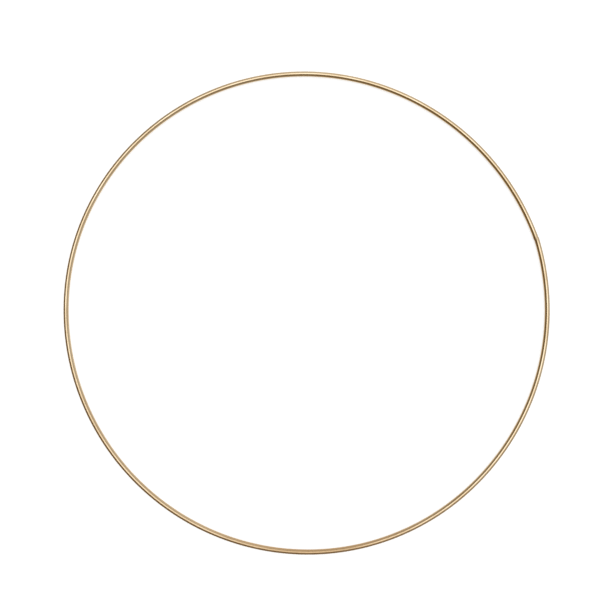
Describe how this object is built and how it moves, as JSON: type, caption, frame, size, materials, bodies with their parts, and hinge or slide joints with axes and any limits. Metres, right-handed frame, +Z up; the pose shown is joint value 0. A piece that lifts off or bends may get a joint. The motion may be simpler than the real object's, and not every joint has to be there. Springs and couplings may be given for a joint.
{
  "type": "wreath frame",
  "caption": "Thin round wire hoop, closed by a butt weld, that carries a wreath, dream catcher or macrame hanging.",
  "frame": {"origin": "centre of the hoop's footprint, on the surface that the hoop lies on", "axes": "+Z up through the hoop's opening; +Y towards the top of the hoop as it hangs; +X to the right, with the weld on the +X side, 18 degrees above it"},
  "size_m": [0.3012, 0.2994, 0.0031],
  "materials": {
    "wire_finish": "satin",
    "weld_finish": "satin"
  },
  "bodies": {
    "root": {"hoop_wire": "wire_finish", "butt_weld": "weld_finish"}
  },
  "joints": []
}
